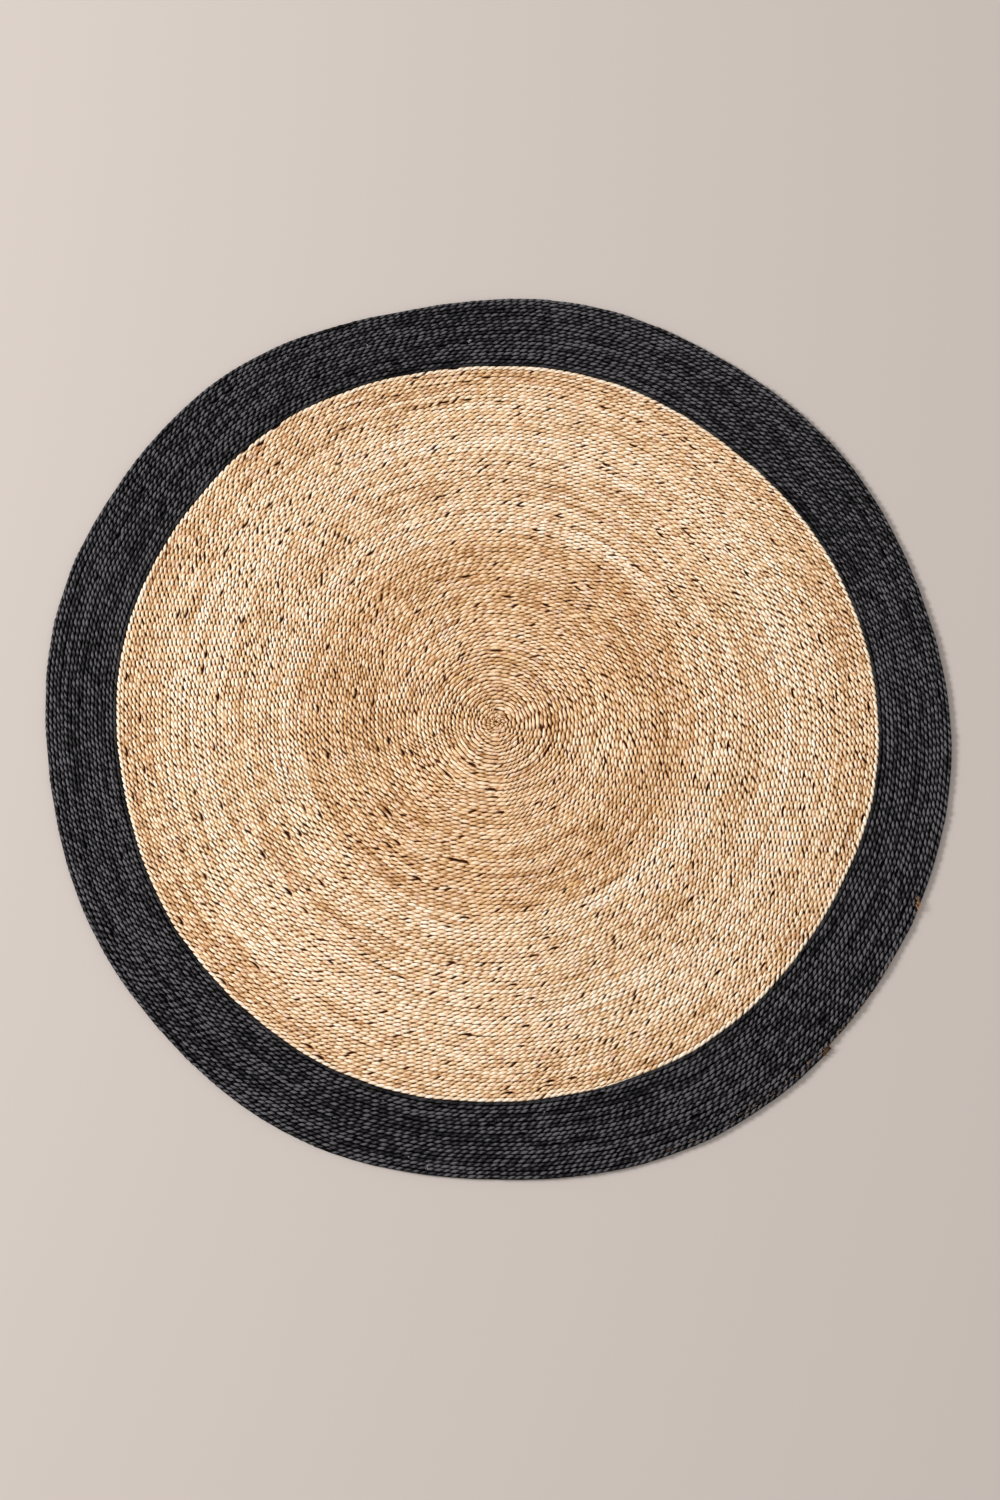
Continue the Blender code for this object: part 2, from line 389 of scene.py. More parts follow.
def tube_groups(lines, count):
    """Faces of a closed tube of five-point rings, with a pattern map (strand count, half widths) and a bake
    map. The fifth side is the flat one underneath, and the two caps are plain."""
    sides = len(ACROSS)
    ring, side = np.meshgrid(np.arange(lines - 1), np.arange(sides), indexing="ij")
    here, ahead = ring * sides, (ring + 1) * sides
    after = (side + 1) % sides
    quads = np.stack([here + side, here + after, ahead + after, ahead + side], -1).reshape(-1, 4)
    over = np.append(ACROSS, 3 * EDGE)
    pattern = quads_map(count[ring], count[ring + 1], over[side], over[side + 1])
    last = (lines - 1) * sides
    caps = np.array([np.arange(sides)[::-1], last + np.arange(sides)])
    turn = 2 * np.pi * np.arange(sides) / sides
    cap_bake = CAP_CENTRES[:, None, :] + np.stack([np.cos(turn), np.sin(turn)], -1) * CAP_RADIUS
    return [(quads, pattern, strips_map(lines)), (caps, np.full((2, sides, 2), EDGE), cap_bake)]


def new_piece(name, points, groups, material, pit=None):
    """A smooth-shaded object from points and groups of faces. Each group has its corners, the pattern map
    that the material reads, and the map that the bake uses, or None. Pit is how far each point lies in a
    pit, from 0 to 1, by which the material paints shade there."""
    mesh = bpy.data.meshes.new(name)
    corners = np.concatenate([group[0].ravel() for group in groups])
    sizes = np.concatenate([np.full(len(group[0]), group[0].shape[1]) for group in groups])
    mesh.vertices.add(len(points))
    mesh.vertices.foreach_set("co", points.astype(np.float32).ravel())
    mesh.loops.add(len(corners))
    mesh.loops.foreach_set("vertex_index", corners.astype(np.int32))
    mesh.polygons.add(len(sizes))
    mesh.polygons.foreach_set("loop_start", (np.cumsum(sizes) - sizes).astype(np.int32))
    mesh.polygons.foreach_set("use_smooth", np.ones(len(sizes), bool))
    for layer, index in (("cord", 1), ("OFBake", 2)):
        if groups[0][index] is not None:
            flat = np.concatenate([group[index].reshape(-1, 2) for group in groups])
            mesh.uv_layers.new(name=layer).data.foreach_set("uv", flat.astype(np.float32).ravel())
    if pit is not None:
        in_pit = mesh.attributes.new("pit", "FLOAT", "POINT")
        in_pit.data.foreach_set("value", pit.astype(np.float32).ravel())
    mesh.update(calc_edges=True)
    mesh.materials.append(material)
    piece = bpy.data.objects.new(name, mesh)
    bpy.context.scene.collection.objects.link(piece)
    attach(piece, "root")
    return piece


JUTE_GLOSS = (0.12, 0.62, 0.85)  # specular level, least roughness, most roughness
OWN_TONE = 0.38  # how far the strands' tones spread by each strand's own
DRIFT_TONE = 0.75  # by the drift along the cord
PATCH_TONE = 0.18  # by patches of the rug
FIBRE_TONE = 0.90  # and by the fibres
DRIFT_SCALE = 0.035  # waves to a strand
PATCH_SCALE = 9.0  # waves to a metre
FIBRE_SCALES = (7.0, 0.9)  # waves to a strand, and to a half width across
CREST_HIGHLIGHT = (-0.25, 0.60)  # half widths from the edge over which the painted highlight of the crest sets in
CREST_HIGHLIGHT_END = (0.12, 0.46)  # strands from a strand's middle over which it fades
GROOVE = (0.06, 0.50)  # half widths from the edge over which the painted shade of a groove fades
CROSSING = (0.30, 0.47)  # strands from a strand's middle over which the painted shade of a crossing sets in
LINED_SCALE = 14.0  # waves to a metre of the noise by which some grooves get more painted shade
LINED = (0.46, 0.68)  # values of that noise over which their painted shade deepens
LINED_LEAST = 0.45  # painted shade in the palest grooves against the darkest
PIT_RING = (0.0, 0.30)  # depths of a pit over which the first painted shade colour sets in
PIT_FILL = (0.06, 0.32)  # and over which the second does
BAND_REACH = 0.66  # distance from the middle at which the ramp of the bands ends


def jute_material(
    name, tones, painted_shades, depths, spread, crest_highlight, tints=(), bands=(), gloss=JUTE_GLOSS, beads=1.0
):
    """Twisted jute, read from the cord map: u counts the strands and v is the half widths across. Each strand
    has a tone of its own, which drifts along the cord, with fine fibres along the strand, all scaled by the
    spread. Its crest is painted paler and its edges darker by the crest highlight, a painted highlight and
    shade of the rounded strand, of which beads is the share that fades towards the strand's ends. The first
    painted shade colour darkens the grooves between rows and the crossings, and rings the pits, which are
    filled with the second, darker painted shade. The three depths are the shares of painted shade in
    grooves, crossings and pits. Bands are shifts of tone at distances from the middle, and each tint is a
    colour laid over short patches."""
    material = bpy.data.materials.new(name)
    material.use_nodes = True
    tree = material.node_tree
    shader = tree.nodes["Principled BSDF"]

    def add(kind, *inputs, **settings):
        """A node with its settings, whose first sockets are linked or set in turn."""
        node = tree.nodes.new(kind)
        for key, value in settings.items():
            setattr(node, key, value)
        for socket, value in zip(node.inputs, inputs):
            if isinstance(value, bpy.types.NodeSocket):
                tree.links.new(value, socket)
            else:
                socket.default_value = value
        return node

    def maths(operation, *inputs):
        return add("ShaderNodeMath", *inputs, operation=operation).outputs[0]

    def plus(first, second):
        return maths("ADD", first, second)

    def minus(first, second):
        return maths("SUBTRACT", first, second)

    def times(first, second):
        return maths("MULTIPLY", first, second)

    def centred(value, weight):
        """A value from 0 to 1 turned into one from minus to plus half the weight."""
        return times(minus(value, 0.5), weight)

    def step_up(value, low, high):
        """A smooth step from 0 at the low value to 1 at the high one."""
        node = add("ShaderNodeMapRange", value, low, high, 0.0, 1.0, interpolation_type="SMOOTHSTEP")
        return node.outputs[0]

    def noise(dimensions, socket, source, scale, detail):
        """A noise over the source, from 0 to 1."""
        node = add("ShaderNodeTexNoise", noise_dimensions=dimensions)
        node.inputs["Scale"].default_value = scale
        node.inputs["Detail"].default_value = detail
        tree.links.new(source, node.inputs[socket])
        return node.outputs[0]

    def ramp(value, stops):
        """The colour at this value on a ramp, whose stops are positions and colours."""
        node = add("ShaderNodeValToRGB", value)
        elements = node.color_ramp.elements
        while len(elements) < len(stops):
            elements.new(0.5)
        for element, (position, colour) in zip(elements, stops):
            element.position = position
            element.color = (*colour, 1.0)
        return node.outputs[0]

    def mixed(share, first, second):
        """The first colour, with this share of the second over it."""
        mix = add("ShaderNodeMix", data_type="RGBA")
        tree.links.new(share, mix.inputs[0])
        tree.links.new(first, mix.inputs[6])
        mix.inputs[7].default_value = (*second, 1.0)
        return mix.outputs[2]

    cord_map = add("ShaderNodeUVMap", uv_map="cord").outputs[0]
    place = add("ShaderNodeTexCoord").outputs["Object"]
    split = add("ShaderNodeSeparateXYZ", cord_map)
    along, across = split.outputs[0], split.outputs[1]
    own = add("ShaderNodeTexWhiteNoise", noise_dimensions="1D")
    tree.links.new(maths("FLOOR", along), own.inputs["W"])
    drift = noise("1D", "W", along, DRIFT_SCALE, 3.0)
    patch = noise("3D", "Vector", place, PATCH_SCALE, 2.0)
    along_scale, across_scale = FIBRE_SCALES
    lengthwise = add("ShaderNodeCombineXYZ", times(along, along_scale), times(across, across_scale), 0.0)
    fibre = noise("2D", "Vector", lengthwise.outputs[0], 1.0, 3.0)

    of_cord = plus(centred(own.outputs[0], OWN_TONE * spread), centred(drift, DRIFT_TONE * spread))
    of_place = plus(centred(patch, PATCH_TONE * spread), centred(fibre, FIBRE_TONE * spread))
    from_edge = maths("PINGPONG", plus(across, EDGE), EDGE)
    from_middle = maths("ABSOLUTE", minus(maths("FRACT", along), 0.5))
    # Painted highlight on each strand's crest and painted shade on its edges, by the crest highlight
    faded = times(step_up(from_middle, *CREST_HIGHLIGHT_END), beads)
    crest = times(step_up(from_edge, *CREST_HIGHLIGHT), minus(1.0, faded))
    tone = plus(plus(of_cord, of_place), centred(crest, crest_highlight))
    if bands:
        distance = add("ShaderNodeVectorMath", place, operation="LENGTH").outputs["Value"]
        stops = [(radius / BAND_REACH, (0.5 + shift,) * 3) for radius, shift in bands]
        tone = plus(tone, minus(ramp(maths("DIVIDE", distance, BAND_REACH), stops), 0.5))
    colour = ramp(plus(tone, 0.5), tones)
    for number, (scale, low, high, strength, tint) in enumerate(tints):
        moved = (3.1 * number + 1.7, 0.0, 0.0)
        elsewhere = add("ShaderNodeVectorMath", place, moved, operation="ADD").outputs[0]
        flecks = step_up(noise("3D", "Vector", elsewhere, scale, 3.0), low, high)
        colour = mixed(times(flecks, strength), colour, tint)

    # Painted shade: the grooves between rows, the crossings and the pits are darkened in the colour where
    # shade falls in them
    in_rows, at_crossings, in_pits = depths
    lined = step_up(noise("3D", "Vector", place, LINED_SCALE, 1.0), *LINED)
    groove = minus(1.0, step_up(from_edge, *GROOVE))
    rows = times(groove, times(plus(times(lined, 1 - LINED_LEAST), LINED_LEAST), in_rows))
    crossings = times(step_up(from_middle, *CROSSING), at_crossings)
    depth = add("ShaderNodeAttribute", attribute_name="pit").outputs["Fac"]
    shade = plus(plus(rows, crossings), times(step_up(depth, *PIT_RING), in_pits))
    filled = times(step_up(depth, *PIT_FILL), in_pits)
    for share, dark in zip((shade, filled), painted_shades):
        colour = mixed(add("ShaderNodeClamp", share).outputs[0], colour, dark)
    tree.links.new(colour, shader.inputs["Base Color"])

    specular, least_rough, most_rough = gloss
    rough = add("ShaderNodeMapRange", fibre, 0.3, 0.7, most_rough, least_rough)
    tree.links.new(rough.outputs[0], shader.inputs["Roughness"])
    bump = add("ShaderNodeBump")
    bump.inputs["Strength"].default_value = 0.6
    bump.inputs["Distance"].default_value = 0.0005
    tree.links.new(fibre, bump.inputs["Height"])
    tree.links.new(bump.outputs[0], shader.inputs["Normal"])
    shader.inputs["Specular IOR Level"].default_value = specular
    return material


GOLDEN_TONES = (
    (0.0, (0.34, 0.16, 0.06)),
    (0.25, (0.62, 0.375, 0.185)),
    (0.50, (0.82, 0.565, 0.34)),
    (0.75, (0.91, 0.70, 0.485)),
    (1.0, (0.96, 0.82, 0.63)),
)
PALE_TONES = (
    (0.0, (0.40, 0.21, 0.095)),
    (0.22, (0.71, 0.465, 0.26)),
    (0.50, (0.895, 0.68, 0.455)),
    (0.75, (0.945, 0.815, 0.64)),
    (1.0, (0.98, 0.92, 0.80)),
)
TONE_BANDS = (
    # distance from the middle, shift of tone
    (0.0, -0.40),
    (0.014, -0.32),
    (0.03, -0.03),
    (0.10, -0.07),
    (0.17, -0.01),
    (0.24, -0.13),
    (0.30, -0.13),
    (0.35, -0.03),
    (0.42, -0.17),
    (0.49, 0.02),
    (0.54, -0.06),
    (0.61, -0.24),
)
TINTS = (
    # scale of the noise, where it sets in, where it is full, strength, colour
    (84.0, 0.59, 0.71, 0.60, (0.55, 0.24, 0.09)),  # rust
    (60.0, 0.57, 0.70, 0.35, (0.74, 0.47, 0.18)),  # ochre
    (70.0, 0.56, 0.69, 0.45, (0.90, 0.69, 0.58)),  # pinkish
)
LAST_TONES = (
    (0.0, (0.42, 0.24, 0.12)),
    (0.32, (0.80, 0.60, 0.40)),
    (1.0, (0.98, 0.91, 0.80)),
)
# Painted shade: a colour for grooves, crossings and pit rims and a darker one for the pits, and each batch's
# shares of it
NATURAL_PAINTED_SHADES = ((0.33, 0.115, 0.012), (0.060, 0.011, 0.001))
NATURAL_SHADE_SHARES = (0.30, 0.36, 1.0)
CURLED_SHADE_SHARES = (0.34, 0.14, 0.9)
LAST_SHADE_SHARES = (0.15, 0.25, 0.7)
curled_jute = jute_material(
    "curled_jute", GOLDEN_TONES, NATURAL_PAINTED_SHADES, CURLED_SHADE_SHARES,
    spread=1.2, crest_highlight=0.28, tints=TINTS, bands=TONE_BANDS,
)
golden_jute = jute_material(
    "golden_jute", GOLDEN_TONES, NATURAL_PAINTED_SHADES, NATURAL_SHADE_SHARES,
    spread=1.15, crest_highlight=0.32, tints=TINTS, bands=TONE_BANDS,
)
pale_jute = jute_material(
    "pale_jute", PALE_TONES, NATURAL_PAINTED_SHADES, NATURAL_SHADE_SHARES,
    spread=1.08, crest_highlight=0.32, tints=TINTS, bands=TONE_BANDS,
)
last_jute = jute_material("last_jute", LAST_TONES, NATURAL_PAINTED_SHADES, LAST_SHADE_SHARES, spread=0.9, crest_highlight=0.30)
NATURAL_BATCHES = (
    # last turn, material
    (20.3, curled_jute),
    (50.7, golden_jute),
    (69.9, pale_jute),
    (85.0, pale_jute),
    (97.0, pale_jute),
    (98.0, last_jute),
)


def natural_inner(turn):
    """The inner edge is full, except at the curled start, where it ends on the rug's middle."""
    return np.maximum(-EDGE, -1 - 2 * turn)


def natural_outer(turn):
    """The outer edge is full until the splice, where it draws in to the inner edge."""
    thinned = np.clip((turn - SPLICE_START) / (NATURAL_TURNS - SPLICE_START), 0, 1)
    return EDGE - (EDGE + 1) * thinned


def cord_pieces(name, batches, along, count, points, pit):
    """The cord cut into a closed piece for each batch, in the dip between two strands at the batch's end."""
    pieces = []
    first = 0
    for number, (last_turn, material) in enumerate(batches, 1):
        strands = count[np.searchsorted(along, length_at(last_turn) - 1e-6)]
        last = min(len(LINE_SHARES) * int(round(strands)), len(along) - 1)
        own = slice(first, last + 1)
        groups = tube_groups(last + 1 - first, count[own] - count[first])
        pieces.append(new_piece(f"{name}_{number}", points[own].reshape(-1, 3), groups, material, pit[own]))
        first = last
    return pieces


rng = np.random.default_rng(11)
along, count, is_dip = cord_lines(CURL_START, NATURAL_TURNS, rng)
points, pit = cord_points(along, count, is_dip, natural_inner, natural_outer, rng)
natural_cords = cord_pieces("natural_cord", NATURAL_BATCHES, along, count, points, pit)


# ---- Underside of the natural turns
# The lower half of the same cord, where the sewing thread holds each turn to the next. It lies on the floor,
# ribbed by the turns, and shows from above only at an open gap between two rows, where its flat top is
# painted dark as shade.

STEPS_ROUND = 120  # steps in a turn
RIB_GROOVE = 0.0016  # height of the groove between two turns, above the floor
SEWN_TOP = 0.0030  # height of the flat top, inside the cord
LEAN = 0.5  # strands by which a strand leans from a half width to the next
WALL_MAP = 0.7  # place on the pattern map that colours the walls


def sewn_turns(first_turn, last_turn):
    """Points, face groups and pits of a closed ribbed plate. A spiral of groove points and a spiral of rib
    points run from the first turn to the last, each turn sharing its groove with the next, and both are
    repeated above as a flat top, which is painted with the shade of a pit. Walls join the two along the outer
    loop, and along the inner one where there is a hole. Otherwise a fan fills the middle."""
    start, end = int(round(first_turn * STEPS_ROUND)), int(round(last_turn * STEPS_ROUND))
    groove_turn = np.arange(start, end + STEPS_ROUND + 1) / STEPS_ROUND
    rib_turn = np.arange(start, end + 1) / STEPS_ROUND + 0.5
    turn = np.concatenate([groove_turn, rib_turn])
    track = np.concatenate([groove_turn, rib_turn - 0.5])
    height = np.repeat([RIB_GROOVE, 0.0], [len(groove_turn), len(rib_turn)])
    below = laid(length_at(track), 2 * (turn - track) - 1, height)
    above = below.copy()
    above[:, 2] = SEWN_TOP
    total = len(below)
    step = np.arange(start, end)
    now, then = length_at(step / STEPS_ROUND) / STRAND, length_at((step + 1) / STEPS_ROUND) / STRAND

    def groove(step):
        return step - start

    def rib(step):
        return len(groove_turn) + step - start

    def loop_at(step):
        return np.concatenate([groove(np.arange(step, step + STEPS_ROUND + 1)), [rib(step)]])

    def mapped(low, high):
        """The pattern map of a row of quads between two half widths, leaned as the strands are."""
        us = np.stack([now - LEAN * low, then - LEAN * low, then - LEAN * high, now - LEAN * high], -1)
        return np.stack([us, [low, low, high, high] + 0 * us], -1)

    inner = np.stack([groove(step), groove(step + 1), rib(step + 1), rib(step)], -1)
    next_groove = groove(step + STEPS_ROUND)
    outer = np.stack([rib(step), rib(step + 1), next_groove + 1, next_groove], -1)
    bottom = np.concatenate([inner, outer])
    top = bottom[:, ::-1] + total
    plate_map = np.concatenate([mapped(-1.0, 0.0), mapped(0.0, 1.0), np.full((len(top), 4, 2), (1.0, EDGE))])
    groups = [(np.concatenate([bottom, top]), plate_map, None)]
    loops = [loop_at(end)]
    if start > 0:
        loops.append(loop_at(start)[::-1])
    else:
        first_round = np.arange(STEPS_ROUND)
        fan = np.stack([rib(0) + 0 * first_round, groove(first_round + 1), groove(first_round)], -1)
        fan = np.concatenate([fan, fan[:, ::-1] + total])
        groups.append((fan, np.full((len(fan), 3, 2), EDGE), None))
    for loop in loops:
        after = np.roll(loop, -1)
        wall = np.stack([loop, after, after + total, loop + total], -1)
        groups.append((wall, np.full((len(wall), 4, 2), WALL_MAP), None))
    return np.concatenate([below, above]), groups, np.repeat([0.0, 1.0], total)


# Shares of painted shade; the full share in pits fills the plate's flat top with the darkest painted shade
UNDER_DEPTHS = (0.6, 0.4, 1.4)
under_jute = jute_material("under_jute", PALE_TONES, NATURAL_PAINTED_SHADES, UNDER_DEPTHS, spread=1.0, crest_highlight=0.3)
points, groups, pit = sewn_turns(0.0, SPLICE_START)
natural_underside = new_piece("natural_underside", points, groups, under_jute, pit)
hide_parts("natural_centre")


# ---- Black cord
# The same make of cord, dyed black, spliced to the natural one and wound on for 19 turns. It begins as a
# taper beside the natural cord's, is darkest on its first turn, and ends on the rim, where it is cut.

CORD_END = 117.0556  # turn at which the cord is cut
CUT_TAPER = 0.006  # part of a turn over which it narrows before that
CUT_NARROWER = 0.7  # half widths by which it does
BLACK_TONES = (
    (0.0, (0.0011, 0.0010, 0.0013)),
    (0.46, (0.0036, 0.0033, 0.0040)),
    (0.74, (0.0160, 0.0150, 0.0175)),
    (0.91, (0.056, 0.0535, 0.060)),
    (1.0, (0.110, 0.1055, 0.116)),
)
FIRST_BLACK_TONES = (
    (0.0, (0.0015, 0.0014, 0.0018)),
    (0.5, (0.006, 0.0057, 0.0068)),
    (1.0, (0.045, 0.043, 0.047)),
)
# Painted shade colours of the black cord, and its shares of painted shade in grooves, crossings and pits
BLACK_PAINTED_SHADES = ((0.0026, 0.0024, 0.0028), (0.0003, 0.0003, 0.0004))
BLACK_SHADE_SHARES = (1.5, 0.15, 1.0)
BLACK_GLOSS = (0.08, 0.42, 0.60)
# Its crests are painted with grey highlights, the glint of the black fibres, by the strong crest highlight
black_jute = jute_material(
    "black_jute_cord", BLACK_TONES, BLACK_PAINTED_SHADES, BLACK_SHADE_SHARES,
    spread=0.90, crest_highlight=0.95, gloss=BLACK_GLOSS, beads=0.45,
)
first_black = jute_material(
    "first_black_jute", FIRST_BLACK_TONES, BLACK_PAINTED_SHADES, BLACK_SHADE_SHARES,
    spread=1.1, crest_highlight=0.6, gloss=BLACK_GLOSS, beads=0.4,
)
BLACK_BATCHES = (
    # last turn, material
    (98.96, first_black),
    (108.5, black_jute),
    (CORD_END, black_jute),
)


def black_inner(turn):
    """The inner edge moves in from the outer one along the splice."""
    grown = np.clip((turn - SPLICE_START) / (NATURAL_TURNS - SPLICE_START), 0, 1)
    return 1 - (EDGE + 1) * grown


def black_outer(turn):
    """The outer edge is full, and draws in a little at the cut end."""
    return EDGE - CUT_NARROWER * np.clip((turn - CORD_END + CUT_TAPER) / CUT_TAPER, 0, 1)


rng = np.random.default_rng(23)
along, count, is_dip = cord_lines(SPLICE_START, CORD_END, rng)
points, pit = cord_points(along, count, is_dip, black_inner, black_outer, rng, CORD_END - 1)
black_cords = cord_pieces("black_cord", BLACK_BATCHES, along, count, points, pit)


# ---- Underside of the black turns
# The lower half of the black turns, dyed like the rest of the cord and sewn in the same way as the natural
# ones. Its outer wall is the foot of the rim, under the outermost turn.

BLACK_UNDER_SHADE_SHARES = (0.7, 0.3, 1.0)
black_under = jute_material(
    "black_under_jute", BLACK_TONES, BLACK_PAINTED_SHADES, BLACK_UNDER_SHADE_SHARES, spread=1.0, crest_highlight=0.4
)
points, groups, pit = sewn_turns(SPLICE_START, CORD_END)
black_underside = new_piece("black_underside", points, groups, black_under, pit)
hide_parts("black_border")


# ---- Stray jute hairs
# Single fibres that work loose from the cord, as on any jute: thin, slightly bent, lying over the rows.
# Most are the colour of the cord they come from.

HAIR_SIDES = 3
HAIR_REACH = np.array([0.0, 0.33, 0.67, 1.0])  # a tip, two rings and a tip, as shares of its length


def hair_points(base, way, lengths, bend, rise, thickness):
    """Spindles of eight points: a tip, two rings of three and a tip. Each runs from its base along its way,
    bends sideways with the square of the distance and rises in a low arch."""
    reach = HAIR_REACH[None, :]
    forward = lengths[:, None] * reach
    aside = bend[:, None] * lengths[:, None] * reach ** 2
    x = base[:, 0, None] + forward * np.cos(way)[:, None] - aside * np.sin(way)[:, None]
    y = base[:, 1, None] + forward * np.sin(way)[:, None] + aside * np.cos(way)[:, None]
    z = base[:, 2, None] + rise[:, None] * np.sin(np.pi * reach)
    line = np.stack([x, y, z], -1)
    turn = 2 * np.pi * np.arange(HAIR_SIDES) / HAIR_SIDES
    flat_side = np.stack([-np.sin(way), np.cos(way), 0 * way], -1)
    up = np.array([0.0, 0.0, 1.0])
    offset = thickness[:, None, None] * (
        np.cos(turn)[None, :, None] * flat_side[:, None, :] + np.sin(turn)[None, :, None] * up
    )
    rings = line[:, 1:3, None, :] + offset[:, None, :, :]
    return np.concatenate([line[:, :1], rings.reshape(len(way), -1, 3), line[:, 3:]], axis=1)


def hair_groups(hairs):
    """Faces of the spindles. On the bake map each has a cell of its own, with a margin round it, and on the
    pattern map a place at random, which gives it its tone."""
    side = np.arange(HAIR_SIDES)
    after = (side + 1) % HAIR_SIDES
    near_ring, far_ring, end_tip = 1, 1 + HAIR_SIDES, 1 + 2 * HAIR_SIDES
    first = (end_tip + 1) * np.arange(hairs)[:, None, None]
    start = first + np.stack([0 * side, near_ring + after, near_ring + side], -1)
    body = first + np.stack([near_ring + side, near_ring + after, far_ring + after, far_ring + side], -1)
    end = first + np.stack([far_ring + side, far_ring + after, end_tip + 0 * side], -1)
    grid = int(np.ceil(np.sqrt(hairs)))
    cell = np.stack([np.arange(hairs) % grid, np.arange(hairs) // grid], -1)[:, None, None, :]
    margin = 0.05

    def baked(us, vs):
        """The bake map of a row of faces, from places in the cell from 0 to 1."""
        inside = np.stack([np.array(us).T, np.array(vs).T], -1)[None]
        return ((cell + margin + (1 - 2 * margin) * inside) / grid).reshape(-1, len(us), 2)

    low, middle, high = side / HAIR_SIDES, (side + 0.5) / HAIR_SIDES, (side + 1) / HAIR_SIDES
    at_start, near, far, at_end = HAIR_REACH[:, None] + 0 * low
    start_bake = baked([middle, high, low], [at_start, near, near])
    body_bake = baked([low, high, high, low], [near, near, far, far])
    end_bake = baked([low, high, middle], [far, far, at_end])
    tone_place = np.random.default_rng(5).uniform(0, 400, hairs)
    own = np.repeat(tone_place, HAIR_SIDES)[:, None, None]
    groups = []
    for faces, bake in ((start, start_bake), (body, body_bake), (end, end_bake)):
        corners = faces.reshape(-1, faces.shape[-1])
        pattern = np.concatenate([own + 0 * bake[..., :1], 0 * bake[..., :1]], axis=-1)
        groups.append((corners, pattern, bake))
    return groups


def hair_piece(name, spindles, material):
    """All hairs of one kind as a piece."""
    return new_piece(name, spindles.reshape(-1, 3), hair_groups(len(spindles)), material)


def row_way(base):
    """The direction of the row at each place, square to the line from the rug's middle."""
    return np.arctan2(base[:, 1], base[:, 0]) + np.pi / 2


def strewn(hairs, first_turn, last_turn, seed, longest):
    """Hairs strewn evenly over the turns, each roughly along its row or across it."""
    rng = np.random.default_rng(seed)
    length = rng.uniform(length_at(first_turn), length_at(last_turn), hairs)
    base = laid(length, rng.uniform(-0.6, 0.6, hairs), 0.0068)
    return hair_points(
        base,
        row_way(base) + rng.normal(0, 0.7, hairs),
        lengths=rng.uniform(0.004, longest, hairs),
        bend=rng.normal(0, 0.35, hairs),
        rise=rng.uniform(0.0010, 0.0024, hairs),
        thickness=rng.uniform(0.00006, 0.00013, hairs),
    )


NO_PAINTED_SHADE = (0.0, 0.0, 0.0)
BLACK_HAIR_TONES = (
    (0.0, (0.03, 0.03, 0.03)),
    (0.5, (0.09, 0.085, 0.085)),
    (1.0, (0.26, 0.24, 0.23)),
)
hair_jute = jute_material("hair_jute", PALE_TONES, NATURAL_PAINTED_SHADES, NO_PAINTED_SHADE, spread=0.8, crest_highlight=0.0)
hair_black = jute_material("hair_black", BLACK_HAIR_TONES, BLACK_PAINTED_SHADES, NO_PAINTED_SHADE, spread=1.2, crest_highlight=0.0)
over_natural = strewn(hairs=4200, first_turn=1.0, last_turn=97.0, seed=31, longest=0.014)
natural_hairs = hair_piece("natural_hairs", over_natural, hair_jute)
over_black = strewn(hairs=2600, first_turn=98.5, last_turn=116.5, seed=37, longest=0.012)
black_hairs = hair_piece("black_hairs", over_black, hair_black)


# ---- Frayed cord end and undyed fibre on the rim
# The black cord is cut on the rim, where its fibres spread and show brown. Further round, at the lower
# right, a tuft of undyed fibre is caught on the outermost turn, and single ones lie along the rim.

FRAYED = 70  # fibres at the cut end
BROWN_TONES = (
    (0.0, (0.05, 0.03, 0.02)),
    (0.5, (0.16, 0.09, 0.05)),
    (1.0, (0.36, 0.22, 0.12)),
)
brown_jute = jute_material("brown_jute", BROWN_TONES, BLACK_PAINTED_SHADES, NO_PAINTED_SHADE, spread=1.2, crest_highlight=0.0)
rng = np.random.default_rng(43)
end_length = length_at(CORD_END) + rng.uniform(-0.012, 0.002, FRAYED)
end_base = laid(end_length, rng.uniform(-0.7, 0.7, FRAYED), rng.uniform(0.003, 0.0066, FRAYED))
end_fibres = hair_points(
    end_base,
    row_way(end_base) + rng.normal(0, 0.35, FRAYED),
    lengths=rng.uniform(0.008, 0.022, FRAYED),
    bend=rng.normal(0, 0.4, FRAYED),
    rise=rng.uniform(-0.0008, 0.0012, FRAYED),
    thickness=rng.uniform(0.00010, 0.00022, FRAYED),
)
frayed_end = hair_piece("frayed_end", end_fibres, brown_jute)

TUFT = 64  # fibres in the tuft
TUFT_PLACE = (0.6850, -0.3064)
TUFT_REACH = (0.0026, 0.0100)  # spread of the tuft in X, across the rim, and in Y, along it
SINGLE = 90  # fibres that lie along the rim one by one
SINGLE_TURNS = (116.02, 116.10)  # the part of the outermost turn that half of them lie on
SINGLE_BACK = -0.03  # turns from there to the part that the other half lie on
UNDYED_TONES = (
    (0.0, (0.30, 0.12, 0.045)),
    (0.5, (0.62, 0.31, 0.13)),
    (1.0, (0.86, 0.62, 0.38)),
)
undyed_jute = jute_material("undyed_jute", UNDYED_TONES, NATURAL_PAINTED_SHADES, NO_PAINTED_SHADE, spread=1.2, crest_highlight=0.0)
tuft_base = np.stack([
    TUFT_PLACE[0] + TUFT_REACH[0] * np.clip(rng.normal(0, 0.6, TUFT), -1.2, 1.2),
    TUFT_PLACE[1] + TUFT_REACH[1] * np.clip(rng.normal(0, 0.6, TUFT), -1.2, 1.2),
    rng.uniform(0.0072, 0.0084, TUFT),
], -1)
single_turn = rng.uniform(*SINGLE_TURNS, SINGLE) + rng.choice([0.0, SINGLE_BACK], SINGLE)
single_base = laid(
    length_at(single_turn), rng.uniform(0.2, 1.0, SINGLE), rng.uniform(0.0062, 0.0078, SINGLE)
)
undyed_base = np.concatenate([tuft_base, single_base])
undyed = len(undyed_base)
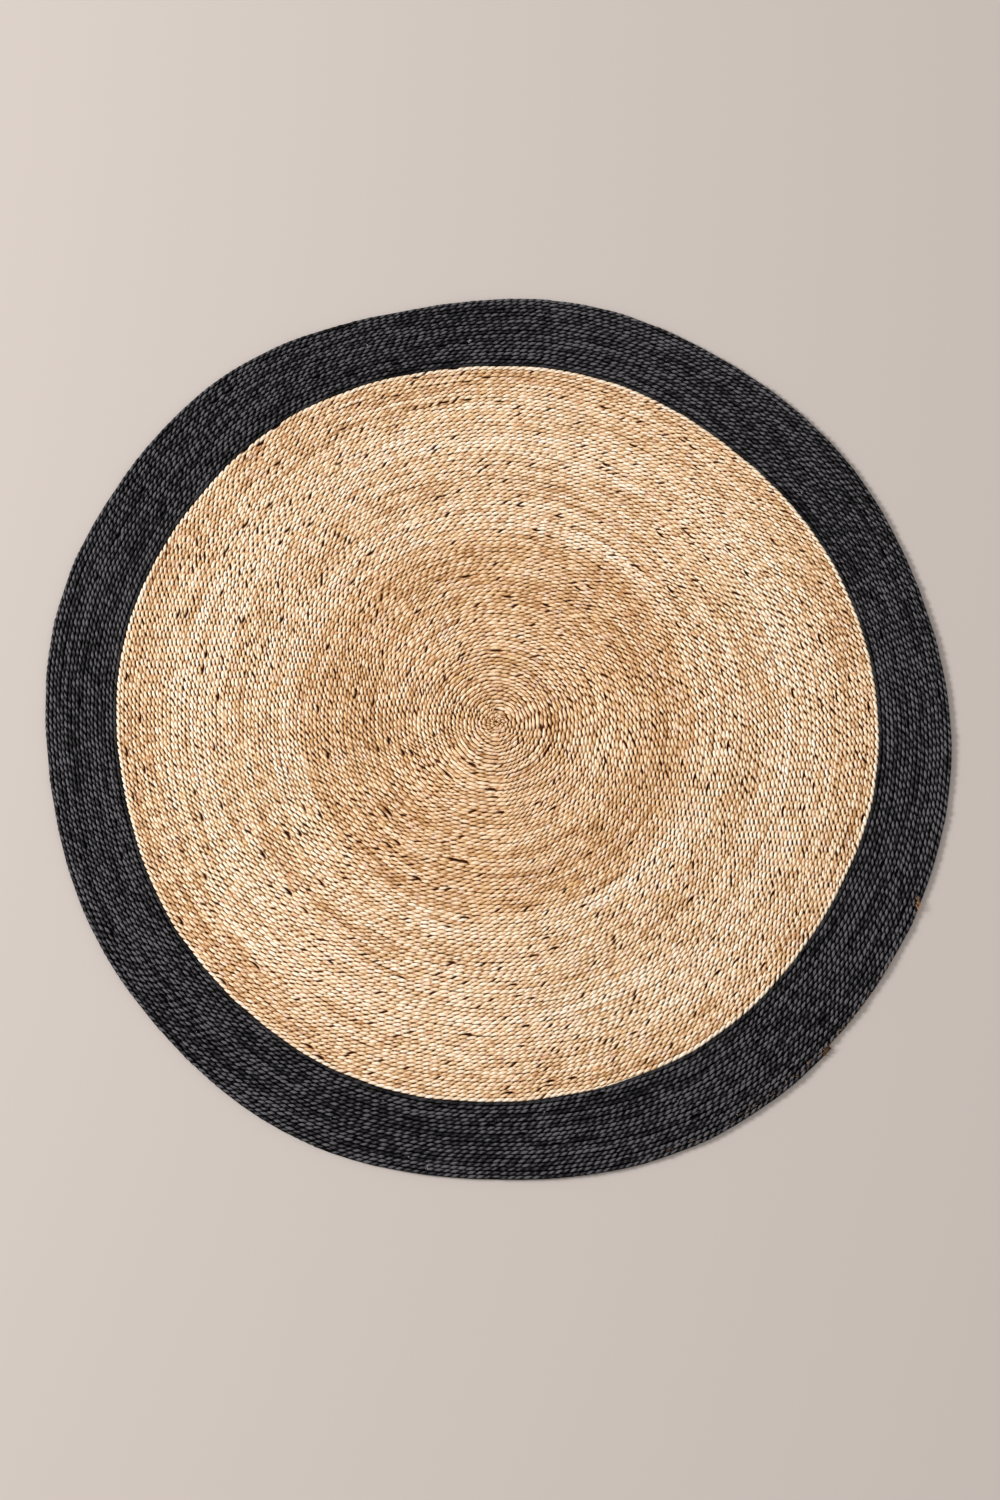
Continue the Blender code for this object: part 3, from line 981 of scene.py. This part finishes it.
undyed_fibres = hair_points(
    undyed_base,
    row_way(undyed_base) + rng.normal(0, 0.7, undyed),
    lengths=rng.uniform(0.002, 0.006, undyed),
    bend=rng.uniform(-0.8, 0.8, undyed),
    rise=rng.uniform(0.0002, 0.0010, undyed),
    thickness=rng.uniform(0.00014, 0.00028, undyed),
)
undyed_fibre = hair_piece("undyed_fibre", undyed_fibres, undyed_jute)


# ---- White lint
# A few flecks of pale fluff, each a small tangle of fine fibres. They have settled on the rug and lie loose
# on it, most of them on the black turns, where they show.

LARGE_LINT = ((-0.1109, -0.7266), (-0.0461, 0.6703), (0.1054, 0.1904))  # places of the largest flecks
LARGE_SIZE = 0.0022
SMALL_LINT = 26  # smaller flecks, strewn over the black turns
SMALL_SIZES = (0.0006, 0.0013)
LINT_FIBRES = 7  # in a fleck
LINT_TONES = (
    (0.0, (0.60, 0.59, 0.57)),
    (1.0, (0.85, 0.84, 0.82)),
)
lint_fluff = jute_material("lint_fluff", LINT_TONES, BLACK_PAINTED_SHADES, NO_PAINTED_SHADE, spread=1.0, crest_highlight=0.0)
rng = np.random.default_rng(53)
small_angle = rng.uniform(0, 2 * np.pi, SMALL_LINT)
small_radius = rng.uniform(0.640, 0.735, SMALL_LINT)
small_places = np.stack([small_radius * np.cos(small_angle), small_radius * np.sin(small_angle)], -1)
fleck_places = np.concatenate([np.array(LARGE_LINT), small_places])
fleck_sizes = np.concatenate([np.full(len(LARGE_LINT), LARGE_SIZE), rng.uniform(*SMALL_SIZES, SMALL_LINT)])
fibre_size = np.repeat(fleck_sizes, LINT_FIBRES)
fibres = len(fibre_size)
fibre_base = np.concatenate([
    np.repeat(fleck_places, LINT_FIBRES, axis=0) + fibre_size[:, None] * rng.normal(0, 0.35, (fibres, 2)),
    rng.uniform(0.0074, 0.0080, (fibres, 1)),
], axis=1)
lint_fibres = hair_points(
    fibre_base,
    rng.uniform(0, 2 * np.pi, fibres),
    lengths=fibre_size * rng.uniform(0.8, 1.8, fibres),
    bend=rng.normal(0, 0.8, fibres),
    rise=rng.uniform(0.0002, 0.0008, fibres),
    thickness=fibre_size * 0.14,
)
white_lint = hair_piece("white_lint", lint_fibres, lint_fluff)
